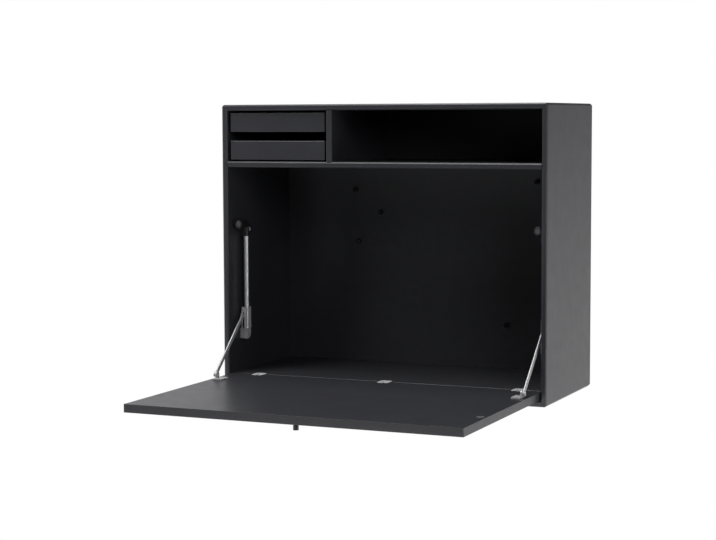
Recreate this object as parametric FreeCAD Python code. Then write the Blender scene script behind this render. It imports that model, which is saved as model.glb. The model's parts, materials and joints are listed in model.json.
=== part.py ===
import FreeCAD, Part
import math
import os
from FreeCAD import Vector

# Fold down wall desk: a mitred board cabinet that hangs on a wall, with two trays, an open bay and a
# flap that folds down to a worktop on three flush hinges and two sliding stays.
# Millimetres. X runs along the width from the middle, Y is 0 at the wall and negative towards the user,
# Z is 0 at the line of the two wall fixings. The model stands with its flap open.

# ---- carcass ----
WIDTH = 696.0
DEPTH = 300.0
HEIGHT = 582.0
FIXING_DROP = 37.0          # wall fixings below the cabinet's top
PANEL = 12.0                # board thickness of carcass, shelf and divider
EDGE = 2.5                  # chamfer on the front and rear edges of the boards
CORNER = 4.0                # chamfer on the four long outer corners
FINE_EDGE = 0.8             # broken edge of flap and trays
TOP_BAY_HEIGHT = 103.0      # clear height over the shelf
TRAY_BAY_WIDTH = 222.0      # clear width left of the divider

BACK_THICKNESS = 8.0
BACK_INSET = 1.5            # back panel ahead of the wall plane
BACK_GROOVE = 5.0           # groove depth in the four panels
BACK_PLAY = 0.5             # back panel short of the groove's bottom
STEEL_SHEET = 1.5           # magnetic sheet in front of the back panel

# ---- flap and its hinges ----
FLAP_THICKNESS = 16.0
FLAP_UNDER_GAP = 0.5        # open flap above the bottom panel
FLAP_SIDE_GAP = 1.5
FLAP_TOP_GAP = 1.5          # closed flap below the shelf
FLAP_SETBACK = 2.0          # closed flap behind the cabinet's front
AXIS_DEPTH = 7.0            # hinge axis below the flap's face and ahead of its rear edge
SWEEP_GAP = 0.5             # floor board clear of the turning flap
HINGE_RADIUS = 17.5
HINGE_CUP_DEPTH = 12.0
HINGE_SPACING = 281.0
HINGE_OFFSET = 5.0          # middle hinge to the right of the cabinet's middle
TONGUE_WIDTH = 8.0
TONGUE_THICKNESS = 5.2
KNUCKLE_RADIUS = 3.6
TONGUE_PLAY = 0.5
HINGE_PIN_RADIUS = 2.0
HINGE_PIN_LENGTH = 28.0
RUNNING_PLAY = 0.05         # radial play of a pin in the piece that turns on it

KNOB_SETBACK = 39.0         # knob behind the flap's front edge
KNOB_LENGTH = 16.5
KNOB_NECK_RADIUS = 4.6
KNOB_END_RADIUS = 5.2
KNOB_STUD_RADIUS = 2.0
KNOB_STUD_LENGTH = 20.0

# ---- flap stays, measured from the inner side wall and the cabinet's front and bottom ----
ROD_RADIUS = 5.0
ROD_OFF_WALL = 12.0
ROD_SETBACK = 58.0
ROD_SEAT = 14.0             # rod length held in each mount
ROD_TENON_RADIUS = 2.4      # thinner lower end, in the lower bracket

LOWER_BRACKET_BOTTOM = 96.5
LOWER_BRACKET_HEIGHT = 21.5
LOWER_BRACKET_WIDTH = 16.0
LOWER_BRACKET_FRONT = 51.0
LOWER_BRACKET_BACK = 69.0
LOWER_HEEL = 12.0           # rounding under the lower bracket's rear
LOWER_WING_THICKNESS = 5.0
LOWER_WING_REACH = 27.0     # wing's rounded end behind the rod
LOWER_WING_HALF = 8.0

TOP_MOUNT_BOTTOM = 311.0
TOP_MOUNT_HEIGHT = 22.0
TOP_MOUNT_RADIUS = 6.8
TOP_FLANGE_THICKNESS = 4.0
TOP_FLANGE_REACH = 43.0     # flange's rounded end behind the rod
TOP_FLANGE_HALF = 11.0
TOP_FLANGE_RISE = 12.5      # middle of the flange above the mount's foot

CATCH_OFF_WALL = 13.0
CATCH_RISE = 3.5            # middle of the catch above the mount's socket
CATCH_RADIUS = 8.75
CATCH_EDGE = 1.0
CATCH_GAP = 1.0             # magnet ahead of which the closed flap's face stops
MAGNET_RADIUS = 5.5
MAGNET_LENGTH = 12.0
MAGNET_PROUD = 0.5
STRIKE_RADIUS = 7.5
STRIKE_THICKNESS = 1.6
STRIKE_PROUD = 0.3

SLIDER_REST_GAP = 0.4
SLIDER_HEIGHT = 43.6
SLIDER_FRONT = 48.5         # slider block behind the cabinet's front
SLIDER_BACK = 73.5
SLIDER_OFF_WALL = 4.6
SLIDER_WIDTH = 10.4         # leaves the rod bare on the side away from the wall
SLIDER_EDGE = 2.5
SLIDER_PLAY = 0.08          # liners on the rod
LINER_WALL = 1.3
LINER_HEIGHT = 9.0
LINER_INSET = 2.0
GROOVE_DEPTH = 2.8          # groove in the slider's front, room for the upright arm
GROOVE_OUTER_GAP = 0.35     # between the groove's walls and the arm
GROOVE_INNER_GAP = 0.65
GROOVE_HEAD = 11.0          # solid upper part of the slider, above its groove
EAR_RADIUS = 4.0
EAR_THICKNESS = 2.0
PIVOT_SETBACK = 45.8        # arm's upper pivot behind the cabinet's front
PIVOT_RISE = 26.3           # arm's upper pivot above the slider's bottom

ARM_OFF_WALL = 8.85
ARM_THICKNESS = 3.0
ARM_WIDTH = 9.0
ARM_EYE_RADIUS = 5.0
ARM_GAP = 0.4               # arm clear of foot lug and pin head
ARM_EDGE = 0.6
PIVOT_PIN_RADIUS = 2.2
PIVOT_HEAD_RADIUS = 4.3
PIVOT_HEAD_HEIGHT = 1.5
PIVOT_HEAD_EDGE = 0.8
RIVET_HEAD_RADIUS = 2.8     # low head of the rivet in the arm's upper eye
RIVET_HEAD_HEIGHT = 0.35

FOOT_REACH = 75.0           # arm's lower pivot ahead of the cabinet's front
FOOT_RISE = 8.5             # arm's lower pivot above the flap
FOOT_PLATE = 2.5
FOOT_LENGTH = 32.0
FOOT_WIDTH = 19.0
FOOT_CORNER = 4.0
FOOT_LUG_RADIUS = 7.0
FOOT_LUG_THICKNESS = 2.5
FOOT_SCREW_SPACING = 18.0

SCREW_HEAD_RADIUS = 3.6
SCREW_RADIUS = 1.75
SCREW_HEAD_DEPTH = 2.0
STAY_SCREW_HEAD_RADIUS = 4.5
STAY_SCREW_HEAD_DEPTH = 2.6
SCREW_GRIP = 9.0            # screw length inside a board

# ---- trays ----
TRAY_SIDE_GAP = 5.0
TRAY_SETBACK = 6.0
TRAY_LIFT = 3.3
TRAY_PITCH = 56.5
TRAY_FRONT_HEIGHT = 38.5
TRAY_FRONT_THICKNESS = 12.0
TRAY_REAR_GAP = 29.5
TRAY_SIDE_THICKNESS = 10.0
TRAY_SIDE_DROP = 3.0        # sides and back below the top edge of the front
TRAY_BOTTOM_THICKNESS = 4.0
TRAY_BOTTOM_LIFT = 5.0
TRAY_BOTTOM_LET_IN = 4.0
RUNNER_HEIGHT = 8.0
RUNNER_LET_IN = 4.5         # runner inside the groove of a tray side
RUNNER_PLAY = 0.4
RUNNER_START = 30.0         # runners behind the cabinet's front
RUNNER_REAR_GAP = 35.5
RUNNER_SCREW_INSET = 25.0

# ---- fixings ----
DOWEL_RADIUS = 3.0
DOWEL_IN_PANEL = 8.0
DOWEL_IN_END = 16.0
DOWEL_INSET = 55.0
SPLINE_THICKNESS = 2.6
SPLINE_WIDTH = 8.0
SPLINE_END = 30.0
RAIL_LENGTH = 600.0
RAIL_HEIGHT = 30.0
RAIL_THICKNESS = 3.0
FIXING_SPACING = 500.0
FIXING_HOLE_RADIUS = 3.25
RAIL_SCREWS = 3
RAIL_SCREW_SPACING = 200.0
BUTTON_RADIUS = 5.25
BUTTON_LENGTH = 8.0
BUTTON_EDGE = 0.8
# Places of the loose magnets: shares of the inner width from the middle, and of the opening's height.
BUTTON_SHARES = [(-0.260, 0.871), (-0.173, 0.760), (-0.250, 0.611), (0.350, 0.920), (0.252, 0.216)]

# ---- planes that the pieces share ----
LEFT = -WIDTH / 2
RIGHT = WIDTH / 2
FRONT = -DEPTH
TOP = FIXING_DROP
BOTTOM = TOP - HEIGHT
INNER_LEFT = LEFT + PANEL
INNER_RIGHT = RIGHT - PANEL
INNER_TOP = TOP - PANEL
INNER_BOTTOM = BOTTOM + PANEL
SHELF_TOP = INNER_TOP - TOP_BAY_HEIGHT
SHELF_BOTTOM = SHELF_TOP - PANEL
DIVIDER_LEFT = INNER_LEFT + TRAY_BAY_WIDTH
DIVIDER_RIGHT = DIVIDER_LEFT + PANEL
BACK_REAR = -BACK_INSET
BACK_FRONT = BACK_REAR - BACK_THICKNESS
SHEET_FRONT = BACK_FRONT - STEEL_SHEET

FLAP_BOTTOM = INNER_BOTTOM + FLAP_UNDER_GAP
FLAP_TOP = FLAP_BOTTOM + FLAP_THICKNESS
FLAP_REAR = FRONT + FLAP_SETBACK + FLAP_THICKNESS
AXIS_Y = FLAP_REAR - AXIS_DEPTH
AXIS_Z = FLAP_TOP - AXIS_DEPTH
FLAP_FRONT = AXIS_Y - (SHELF_BOTTOM - FLAP_TOP_GAP - AXIS_Z)
FLAP_LEFT = INNER_LEFT + FLAP_SIDE_GAP
FLAP_RIGHT = INNER_RIGHT - FLAP_SIDE_GAP
SWEEP_RADIUS = AXIS_DEPTH * math.sqrt(2) + SWEEP_GAP
HINGE_PLACES = [HINGE_OFFSET + i * HINGE_SPACING for i in (-1, 0, 1)]

ROD_X = INNER_LEFT + ROD_OFF_WALL
ROD_Y = FRONT + ROD_SETBACK
LOWER_BRACKET_TOP = BOTTOM + LOWER_BRACKET_BOTTOM + LOWER_BRACKET_HEIGHT
TOP_MOUNT_FOOT = BOTTOM + TOP_MOUNT_BOTTOM
SLIDER_BOTTOM = LOWER_BRACKET_TOP + SLIDER_REST_GAP
SLIDER_TOP = SLIDER_BOTTOM + SLIDER_HEIGHT
SLIDER_PIVOT = Vector(0, FRONT + PIVOT_SETBACK, SLIDER_BOTTOM + PIVOT_RISE)
FOOT_PIVOT = Vector(0, FRONT - FOOT_REACH, FLAP_TOP + FOOT_RISE)
ARM_OUTER = INNER_LEFT + ARM_OFF_WALL - ARM_THICKNESS / 2
ARM_INNER = ARM_OUTER + ARM_THICKNESS
LUG_OUTER = ARM_INNER + ARM_GAP
LUG_INNER = LUG_OUTER + FOOT_LUG_THICKNESS
SLIDER_OUTER = INNER_LEFT + SLIDER_OFF_WALL
SLIDER_INNER = SLIDER_OUTER + SLIDER_WIDTH
GROOVE_OUTER = ARM_OUTER - GROOVE_OUTER_GAP
GROOVE_INNER = ARM_INNER + GROOVE_INNER_GAP
LOWER_WING_Z = LOWER_BRACKET_TOP - LOWER_BRACKET_HEIGHT / 2
TOP_FLANGE_Z = TOP_MOUNT_FOOT + TOP_FLANGE_RISE
CATCH_X = INNER_LEFT + CATCH_OFF_WALL
CATCH_Z = TOP_MOUNT_FOOT + TOP_MOUNT_HEIGHT + CATCH_RISE
CATCH_FRONT = FLAP_REAR + CATCH_GAP
STRIKE_Y = AXIS_Y - (CATCH_Z - AXIS_Z)

TRAY_LEFT = INNER_LEFT + TRAY_SIDE_GAP
TRAY_RIGHT = DIVIDER_LEFT - TRAY_SIDE_GAP
TRAY_FACE = FRONT + TRAY_SETBACK
TRAY_BACK = BACK_FRONT - TRAY_REAR_GAP
RUNNER_FRONT = FRONT + RUNNER_START
RUNNER_REAR = BACK_FRONT - RUNNER_REAR_GAP
FAR = 2 * (WIDTH + DEPTH + HEIGHT)


# ---- shapes ----
def block(x, y, z):
    """Box between pairs of x, y and z."""
    corner = Vector(min(x), min(y), min(z))
    return Part.makeBox(max(x) - min(x), max(y) - min(y), max(z) - min(z), corner)


def bar(start, end, radius):
    """Round bar from one point to another."""
    return Part.makeCylinder(radius, (end - start).Length, start, end - start)


def prism(points, push):
    """Polygon pushed along a vector."""
    outline = Part.makePolygon(points + [points[0]])
    return Part.Face(outline).extrude(push)


def fused(shapes):
    first = shapes[0]
    return first.multiFuse(shapes[1:]).removeSplitter() if len(shapes) > 1 else first


def cut(shape, tools):
    return shape.cut(Part.makeCompound(tools)) if tools else shape


def edges_where(shape, test):
    return [edge for edge in shape.Edges if all(test(v.Point) for v in edge.Vertexes)]


def near(a, b):
    return abs(a - b) < 1e-4


def across(shape):
    """Mirror image on the other side of the cabinet."""
    return shape.mirror(Vector(0, 0, 0), Vector(1, 0, 0))


def both_sides(shape):
    return [shape, across(shape)]


def screw(head, direction, head_radius, head_depth, radius, length):
    """Countersunk screw: head is the middle of its flat face, direction the way it is driven."""
    cone = Part.makeCone(head_radius, radius, head_depth, head, direction)
    return fused([cone, Part.makeCylinder(radius, length, head, direction)])


def wood_screw(head, direction, length):
    return screw(head, direction, SCREW_HEAD_RADIUS, SCREW_HEAD_DEPTH, SCREW_RADIUS, length)


# ---- carcass ----
def carcass_ring():
    """The four panels as one ring, with its chamfers and the groove for the back panel."""
    outline = [
        (LEFT + CORNER, TOP), (RIGHT - CORNER, TOP), (RIGHT, TOP - CORNER), (RIGHT, BOTTOM + CORNER),
        (RIGHT - CORNER, BOTTOM), (LEFT + CORNER, BOTTOM), (LEFT, BOTTOM + CORNER), (LEFT, TOP - CORNER),
    ]
    ring = prism([Vector(x, FRONT, z) for x, z in outline], Vector(0, DEPTH, 0))
    ring = ring.cut(block((INNER_LEFT, INNER_RIGHT), (FRONT - 1, 1), (INNER_BOTTOM, INNER_TOP)))
    ring = ring.makeChamfer(EDGE, edges_where(ring, lambda p: near(p.y, FRONT)))
    outer_rear = edges_where(ring, lambda p: near(p.y, 0) and not inside_carcass(p))
    ring = ring.makeChamfer(EDGE / 2, outer_rear)
    groove = block(
        (INNER_LEFT - BACK_GROOVE, INNER_RIGHT + BACK_GROOVE), (BACK_FRONT, BACK_REAR),
        (INNER_BOTTOM - BACK_GROOVE, INNER_TOP + BACK_GROOVE),
    )
    return ring.cut(groove)


def inside_carcass(p):
    return abs(p.x) < RIGHT - PANEL / 2 and BOTTOM + PANEL / 2 < p.z < TOP - PANEL / 2


def mitre_wedge(start, end, middle):
    """Everything between two outer corners and the two mitre planes that start there."""
    inward = 2 * PANEL
    side = (end - start).normalize()
    depth = (middle - start) - side * (middle - start).dot(side)
    depth = depth.normalize()
    corners = [
        start - (side + depth) * PANEL, end + (side - depth) * PANEL,
        end + (depth - side) * inward, start + (depth + side) * inward,
    ]
    return prism([p + Vector(0, FRONT - 1, 0) for p in corners], Vector(0, DEPTH + 2, 0))


def corner_splines():
    """Loose tongue across each mitre, square to it."""
    splines = []
    for x, z, turn in ((LEFT, TOP, -45), (RIGHT, TOP, 45), (LEFT, BOTTOM, 45), (RIGHT, BOTTOM, -45)):
        inward = Vector(-math.copysign(1, x), 0, 1 if z < 0 else -1) * (PANEL * 0.58)
        tongue = block(
            (-SPLINE_WIDTH / 2, SPLINE_WIDTH / 2), (FRONT + SPLINE_END, -SPLINE_END),
            (-SPLINE_THICKNESS / 2, SPLINE_THICKNESS / 2),
        )
        tongue.rotate(Vector(0, 0, 0), Vector(0, 1, 0), turn)
        tongue.translate(Vector(x, 0, z) + inward)
        splines.append(tongue)
    return splines


def carcass_panels():
    ring = carcass_ring()
    middle = Vector(0, 0, (TOP + BOTTOM) / 2)
    top_left, top_right = Vector(LEFT, 0, TOP), Vector(RIGHT, 0, TOP)
    low_left, low_right = Vector(LEFT, 0, BOTTOM), Vector(RIGHT, 0, BOTTOM)
    sides = {
        "top_panel": (top_left, top_right), "bottom_panel": (low_left, low_right),
        "left_side_panel": (low_left, top_left), "right_side_panel": (low_right, top_right),
    }
    return {name: ring.common(mitre_wedge(a, b, middle)) for name, (a, b) in sides.items()}


def chamfered_board(x, z, rear, long_axis):
    """Board from the cabinet's front to the back panel, its two long front edges chamfered."""
    board = block(x, (FRONT, rear), z)
    span = x if long_axis == "x" else z
    ends = (min(span), max(span))
    front = [
        e for e in board.Edges
        if all(near(v.Point.y, FRONT) for v in e.Vertexes) and near(e.Length, ends[1] - ends[0])
    ]
    return board.makeChamfer(EDGE, front)


def back_panel():
    reach = BACK_GROOVE - BACK_PLAY
    panel = block(
        (INNER_LEFT - reach, INNER_RIGHT + reach), (BACK_FRONT, BACK_REAR),
        (INNER_BOTTOM - reach, INNER_TOP + reach),
    )
    return panel.cut(rail_blank())


def rail_blank():
    half_length, half_height = RAIL_LENGTH / 2, RAIL_HEIGHT / 2
    return block((-half_length, half_length), (-RAIL_THICKNESS, 0), (-half_height, half_height))


def fixing_holes():
    """Holes of the two wall screws, through the rail and the back panel."""
    places = (-FIXING_SPACING / 2, FIXING_SPACING / 2)
    return [bar(Vector(x, BACK_FRONT - 1, 0), Vector(x, 1, 0), FIXING_HOLE_RADIUS) for x in places]


def rail_screws():
    first = -RAIL_SCREW_SPACING * (RAIL_SCREWS - 1) / 2
    heads = [Vector(first + i * RAIL_SCREW_SPACING, 0, 0) for i in range(RAIL_SCREWS)]
    length = RAIL_THICKNESS + BACK_THICKNESS * 0.6
    return [wood_screw(head, Vector(0, -1, 0), length) for head in heads]


def board_buttons():
    """Small round magnets on the steel sheet."""
    buttons = []
    for across_share, height_share in BUTTON_SHARES:
        x = across_share * (INNER_RIGHT - INNER_LEFT)
        z = FLAP_TOP + height_share * (SHELF_BOTTOM - FLAP_TOP)
        foot = Vector(x, SHEET_FRONT, z)
        button = bar(foot, foot - Vector(0, BUTTON_LENGTH, 0), BUTTON_RADIUS)
        rim = edges_where(button, lambda p: near(p.y, SHEET_FRONT - BUTTON_LENGTH))
        buttons.append(button.makeChamfer(BUTTON_EDGE, rim))
    return buttons


def dowels():
    """Dowels from the side panels into the shelf, and from top panel and shelf into the divider."""
    pins = []
    for y in (FRONT + DOWEL_INSET, -DOWEL_INSET):
        for wall, way in ((INNER_LEFT, 1), (INNER_RIGHT, -1)):
            z = (SHELF_TOP + SHELF_BOTTOM) / 2
            start = Vector(wall - way * DOWEL_IN_PANEL, y, z)
            end = Vector(wall + way * DOWEL_IN_END, y, z)
            pins.append(bar(start, end, DOWEL_RADIUS))
        for wall, way in ((INNER_TOP, -1), (SHELF_TOP, 1)):
            x = (DIVIDER_LEFT + DIVIDER_RIGHT) / 2
            start = Vector(x, y, wall - way * DOWEL_IN_PANEL)
            end = Vector(x, y, wall + way * DOWEL_IN_END)
            pins.append(bar(start, end, DOWEL_RADIUS))
    return pins


# ---- flap, floor board and hinges ----
def flap_blank():
    """Flap board: rounded under its rear edge, which turns over the bottom panel."""
    board = block((FLAP_LEFT, FLAP_RIGHT), (FLAP_FRONT, FLAP_REAR), (FLAP_BOTTOM, FLAP_TOP))
    under_rear = edges_where(board, lambda p: near(p.y, FLAP_REAR) and near(p.z, FLAP_BOTTOM))
    board = board.makeFillet(AXIS_DEPTH, under_rear)
    rim = edges_where(board, lambda p: near(p.z, FLAP_TOP) or near(p.y, FLAP_FRONT))
    return board.makeChamfer(FINE_EDGE, rim)


def floor_blank():
    """Floor board, hollowed along its front so that the flap's edge turns clear of it."""
    board = block((INNER_LEFT, INNER_RIGHT), (AXIS_Y, BACK_FRONT), (INNER_BOTTOM, FLAP_TOP))
    sweep = bar(Vector(-FAR, AXIS_Y, AXIS_Z), Vector(FAR, AXIS_Y, AXIS_Z), SWEEP_RADIUS)
    below = block((-FAR, FAR), (AXIS_Y - 1, AXIS_Y + SWEEP_RADIUS), (INNER_BOTTOM - 1, AXIS_Z))
    return cut(board, [sweep, below])


def hinge_cups():
    feet = [Vector(x, FLAP_REAR, FLAP_TOP - HINGE_CUP_DEPTH) for x in HINGE_PLACES]
    return [bar(foot, foot + Vector(0, 0, HINGE_CUP_DEPTH), HINGE_RADIUS) for foot in feet]


def hinge_notches():
    """Room in the flap half for the tongue, from the rear edge round to the upper face."""
    room = KNUCKLE_RADIUS + TONGUE_PLAY
    half = TONGUE_WIDTH / 2 + TONGUE_PLAY
    return [
        block((x - half, x + half), (AXIS_Y - room, FLAP_REAR + 1), (AXIS_Z - room, FLAP_TOP + 1))
        for x in HINGE_PLACES
    ]


def hinge_pins():
    half = HINGE_PIN_LENGTH / 2
    return [
        bar(Vector(x - half, AXIS_Y, AXIS_Z), Vector(x + half, AXIS_Y, AXIS_Z), HINGE_PIN_RADIUS)
        for x in HINGE_PLACES
    ]


def floor_hinge_halves():
    """Half cups in the floor board, each with the tongue that carries the flap's pin."""
    halves = []
    for x, cup in zip(HINGE_PLACES, hinge_cups()):
        body = floor_blank().common(cup)
        side = (x - TONGUE_WIDTH / 2, x + TONGUE_WIDTH / 2)
        tongue = block(side, (AXIS_Y, AXIS_Y + SWEEP_RADIUS + 2),
                       (AXIS_Z - TONGUE_THICKNESS / 2, AXIS_Z + TONGUE_THICKNESS / 2))
        start, end = Vector(side[0], AXIS_Y, AXIS_Z), Vector(side[1], AXIS_Y, AXIS_Z)
        bore = bar(start - Vector(1, 0, 0), end + Vector(1, 0, 0), HINGE_PIN_RADIUS + RUNNING_PLAY)
        half = fused([body, tongue, bar(start, end, KNUCKLE_RADIUS)])
        halves.append(half.cut(bore))
    return halves


def flap_hinge_halves():
    blank = flap_blank()
    return [cut(blank.common(cup), hinge_notches() + hinge_pins()) for cup in hinge_cups()]


def pull_knob():
    """Turned knob that widens towards its end, with a broken end edge."""
    end = -KNOB_LENGTH
    profile = [
        Vector(KNOB_STUD_RADIUS, 0, 0), Vector(KNOB_NECK_RADIUS, 0, 0),
        Vector(KNOB_NECK_RADIUS, 0, end * 0.25), Vector(KNOB_END_RADIUS, 0, end * 0.6),
        Vector(KNOB_END_RADIUS, 0, end + FINE_EDGE), Vector(KNOB_END_RADIUS - FINE_EDGE, 0, end),
        Vector(0, 0, end), Vector(0, 0, -KNOB_STUD_LENGTH / 2),
        Vector(KNOB_STUD_RADIUS, 0, -KNOB_STUD_LENGTH / 2),
    ]
    outline = Part.Face(Part.makePolygon(profile + [profile[0]]))
    knob = outline.revolve(Vector(0, 0, 0), Vector(0, 0, 1), 360)
    knob.translate(Vector(0, FLAP_FRONT + KNOB_SETBACK, FLAP_BOTTOM))
    return knob


def knob_stud():
    foot = Vector(0, FLAP_FRONT + KNOB_SETBACK, FLAP_BOTTOM - KNOB_STUD_LENGTH / 2)
    return bar(foot, foot + Vector(0, 0, KNOB_STUD_LENGTH), KNOB_STUD_RADIUS)


def left_strike():
    """Steel disc let into the flap, facing the catch magnet when the flap is closed."""
    foot = Vector(CATCH_X, STRIKE_Y, FLAP_TOP + STRIKE_PROUD - STRIKE_THICKNESS)
    disc = bar(foot, foot + Vector(0, 0, STRIKE_THICKNESS), STRIKE_RADIUS)
    rim = edges_where(disc, lambda p: near(p.z, FLAP_TOP + STRIKE_PROUD))
    return disc.makeChamfer(STRIKE_PROUD / 2, rim)


# ---- left stay; the right one is its mirror image ----
def guide_rod():
    """Round rod that stands on the lower bracket with a thinner tenon."""
    foot = Vector(ROD_X, ROD_Y, LOWER_BRACKET_TOP)
    end = Vector(ROD_X, ROD_Y, TOP_MOUNT_FOOT + ROD_SEAT)
    tenon = bar(foot - Vector(0, 0, ROD_SEAT), foot, ROD_TENON_RADIUS)
    return fused([bar(foot, end, ROD_RADIUS), tenon])


def wall_flange(thickness, reach, half, middle):
    """Plate on the side wall, from the rod to a rounded end behind it."""
    x = (INNER_LEFT, INNER_LEFT + thickness)
    end = ROD_Y + reach - half
    plate = block(x, (ROD_Y, end), (middle - half, middle + half))
    return [plate, bar(Vector(x[0], end, middle), Vector(x[1], end, middle), half)]


def flange_screw(thickness, reach, half, middle):
    """Screw through the rounded end of a flange into the side panel."""
    head = Vector(INNER_LEFT + thickness, ROD_Y + reach - half, middle)
    return screw(head, Vector(-1, 0, 0), STAY_SCREW_HEAD_RADIUS, STAY_SCREW_HEAD_DEPTH, SCREW_RADIUS,
                 thickness + SCREW_GRIP)


def lower_screw():
    return flange_screw(LOWER_WING_THICKNESS, LOWER_WING_REACH, LOWER_WING_HALF, LOWER_WING_Z)


def top_screw():
    return flange_screw(TOP_FLANGE_THICKNESS, TOP_FLANGE_REACH, TOP_FLANGE_HALF, TOP_FLANGE_Z)


def lower_bracket():
    """Bracket under the rod: a block with a rounded heel, and a wing behind it that takes the screw."""
    low, rear = BOTTOM + LOWER_BRACKET_BOTTOM, FRONT + LOWER_BRACKET_BACK
    body = block((INNER_LEFT, INNER_LEFT + LOWER_BRACKET_WIDTH), (FRONT + LOWER_BRACKET_FRONT, rear),
                 (low, LOWER_BRACKET_TOP))
    heel = edges_where(body, lambda p: near(p.y, rear) and near(p.z, low))
    body = body.makeFillet(LOWER_HEEL, heel)
    wing = wall_flange(LOWER_WING_THICKNESS, LOWER_WING_REACH, LOWER_WING_HALF, LOWER_WING_Z)
    return cut(fused([body] + wing), [guide_rod(), lower_screw()])


def top_mount():
    """Mount over the rod: a round socket, a flange with the screw, and the barrel of the catch."""
    foot = Vector(ROD_X, ROD_Y, TOP_MOUNT_FOOT)
    socket = bar(foot, foot + Vector(0, 0, TOP_MOUNT_HEIGHT), TOP_MOUNT_RADIUS)
    web_y = (ROD_Y - TOP_MOUNT_RADIUS, ROD_Y + TOP_MOUNT_RADIUS)
    web = block((INNER_LEFT, ROD_X), web_y, (foot.z, CATCH_Z))
    flange = wall_flange(TOP_FLANGE_THICKNESS, TOP_FLANGE_REACH, TOP_FLANGE_HALF, TOP_FLANGE_Z)
    barrel_face = CATCH_FRONT + MAGNET_PROUD
    barrel_end = Vector(CATCH_X, ROD_Y - ROD_RADIUS, CATCH_Z)
    barrel = bar(Vector(CATCH_X, barrel_face, CATCH_Z), barrel_end, CATCH_RADIUS)
    rim = edges_where(barrel, lambda p: near(p.y, barrel_face))
    barrel = barrel.makeChamfer(CATCH_EDGE, rim)
    return cut(fused([socket, web, barrel] + flange), [guide_rod(), catch_magnet(), top_screw()])


def catch_magnet():
    face = Vector(CATCH_X, CATCH_FRONT, CATCH_Z)
    return bar(face, face + Vector(0, MAGNET_LENGTH, 0), MAGNET_RADIUS)


def slider():
    """Slider: a block round the rod, grooved in front for the arm, with an ear for the arm's pivot."""
    front, rear = FRONT + SLIDER_FRONT, FRONT + SLIDER_BACK
    body = block((SLIDER_OUTER, SLIDER_INNER), (front, rear), (SLIDER_BOTTOM, SLIDER_TOP))
    body = body.makeFillet(SLIDER_EDGE, edges_where(body, lambda p: near(p.y, rear)))
    low, high = Vector(ROD_X, ROD_Y, SLIDER_BOTTOM - 1), Vector(ROD_X, ROD_Y, SLIDER_TOP + 1)
    bore = bar(low, high, ROD_RADIUS + LINER_WALL / 2)
    seats = [liner_blank(z, ROD_RADIUS + SLIDER_PLAY + LINER_WALL) for z in liner_places()]
    groove = block((GROOVE_OUTER, GROOVE_INNER), (front - 1, front + GROOVE_DEPTH),
                   (SLIDER_BOTTOM - 1, SLIDER_TOP - GROOVE_HEAD))
    ear_outer = GROOVE_OUTER - EAR_THICKNESS
    ear = cross_bar(SLIDER_PIVOT, ear_outer, GROOVE_OUTER, EAR_RADIUS)
    root = block((ear_outer, GROOVE_OUTER), (SLIDER_PIVOT.y, front + 1),
                 (SLIDER_PIVOT.z - EAR_RADIUS, SLIDER_PIVOT.z + EAR_RADIUS))
    pivot_bore = cross_bar(SLIDER_PIVOT, SLIDER_OUTER, ARM_OUTER, PIVOT_PIN_RADIUS + RUNNING_PLAY)
    return cut(fused([cut(body, [bore, groove] + seats), ear, root]), [pivot_bore])


def liner_places():
    return (SLIDER_BOTTOM + LINER_INSET, SLIDER_TOP - LINER_INSET - LINER_HEIGHT)


def liner_blank(low, radius):
    return bar(Vector(ROD_X, ROD_Y, low), Vector(ROD_X, ROD_Y, low + LINER_HEIGHT), radius)


def slider_liners():
    """Two plastic bushes that run on the rod, cut off flush with the slider's inner face."""
    inner = ROD_RADIUS + SLIDER_PLAY
    beyond = block((SLIDER_INNER, SLIDER_INNER + SLIDER_WIDTH), (FRONT, 0), (SLIDER_BOTTOM, SLIDER_TOP))
    return [
        cut(liner_blank(low, inner + LINER_WALL), [liner_blank(low, inner), beyond])
        for low in liner_places()
    ]


def slider_rivet():
    """Rivet fast in the arm's upper eye; its end stays just short of the slider's ear."""
    shank = cross_bar(SLIDER_PIVOT, ARM_OUTER, ARM_INNER, PIVOT_PIN_RADIUS)
    head = cross_bar(SLIDER_PIVOT, ARM_INNER, ARM_INNER + RIVET_HEAD_HEIGHT, RIVET_HEAD_RADIUS)
    return fused([shank, head])


def cross_bar(place, start, end, radius):
    """Round bar along the width, between two x."""
    return bar(place + Vector(start, 0, 0), place + Vector(end, 0, 0), radius)


def stay_arm():
    """Flat arm with an eye at each end."""
    along = (SLIDER_PIVOT - FOOT_PIVOT).normalize()
    sideways = Vector(0, -along.z, along.y) * (ARM_WIDTH / 2)
    outer = Vector(ARM_OUTER, 0, 0)
    push = Vector(ARM_THICKNESS, 0, 0)
    low, high = outer + FOOT_PIVOT, outer + SLIDER_PIVOT
    shank = prism([low + sideways, high + sideways, high - sideways, low - sideways], push)
    eyes = [bar(p, p + push, ARM_EYE_RADIUS) for p in (low, high)]
    arm = fused([shank] + eyes)
    rims = edges_where(arm, lambda p: near(p.x, ARM_OUTER) or near(p.x, ARM_INNER))
    running_bore = bar(low - push, low + push * 2, PIVOT_PIN_RADIUS + RUNNING_PLAY)
    return cut(arm.makeChamfer(ARM_EDGE, rims), [running_bore, slider_rivet()])


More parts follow.
